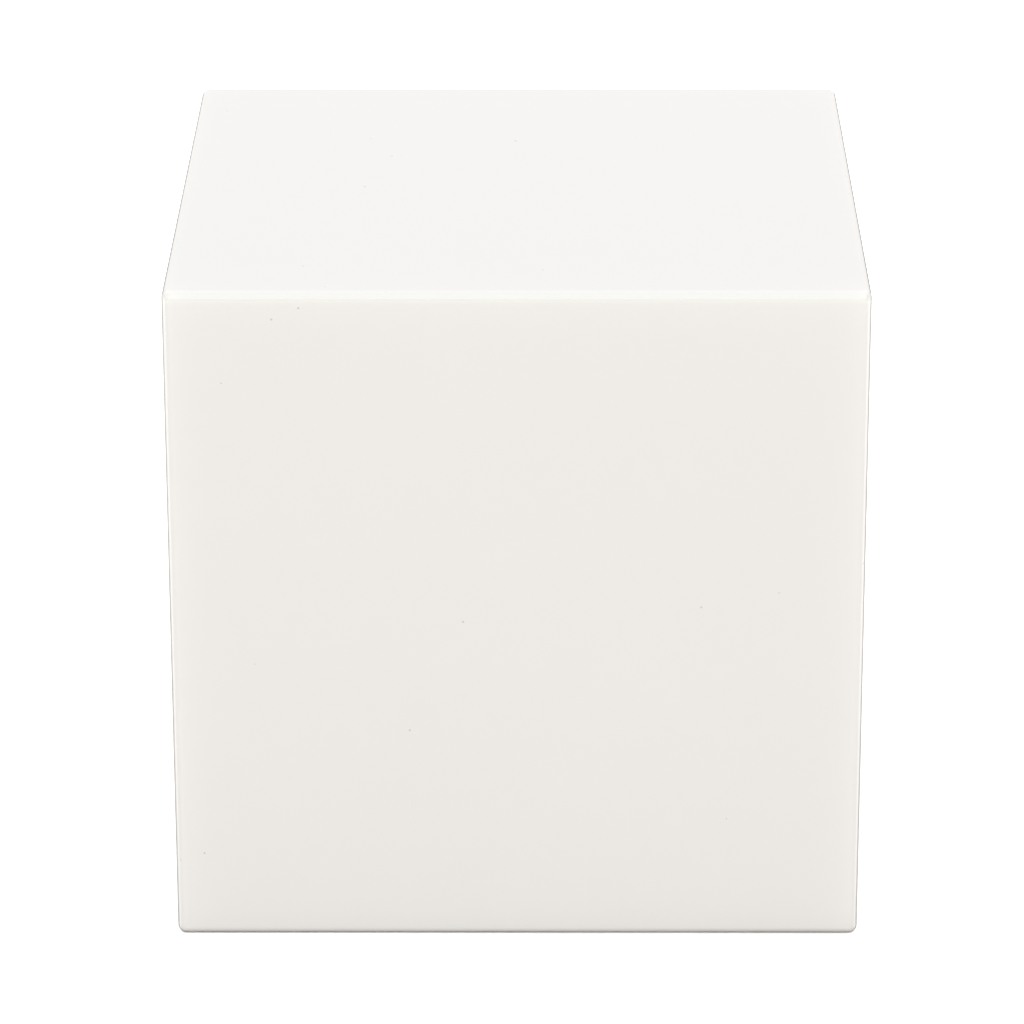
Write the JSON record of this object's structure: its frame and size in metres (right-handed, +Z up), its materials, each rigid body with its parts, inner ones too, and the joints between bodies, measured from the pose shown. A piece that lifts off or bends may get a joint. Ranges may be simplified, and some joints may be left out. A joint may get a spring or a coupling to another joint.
{
  "type": "acrylic display cube",
  "caption": "White acrylic display cube: an open-bottomed box of mitred, cemented sheet with softly rounded polished edges, used as a plinth or riser for exhibits.",
  "frame": {"origin": "centre of the footprint, on the plane that the rim stands on", "axes": "+Z up, out of the display top; -Y out of the front panel; +X to the right seen from the front"},
  "size_m": [0.1, 0.1, 0.1],
  "materials": {
    "white_acrylic": "opal white cast acrylic, polished gloss, faintly translucent at its edges",
    "clear_cement": "set acrylic cement, clear and glossy over white acrylic"
  },
  "bodies": {
    "root": {"top_panel": "white_acrylic", "front_panel": "white_acrylic", "back_panel": "white_acrylic", "left_panel": "white_acrylic", "right_panel": "white_acrylic", "corner_bead_front_left": "clear_cement", "corner_bead_front_right": "clear_cement", "corner_bead_back_left": "clear_cement", "corner_bead_back_right": "clear_cement", "top_bead_front": "clear_cement", "top_bead_back": "clear_cement", "top_bead_left": "clear_cement", "top_bead_right": "clear_cement"}
  },
  "joints": []
}
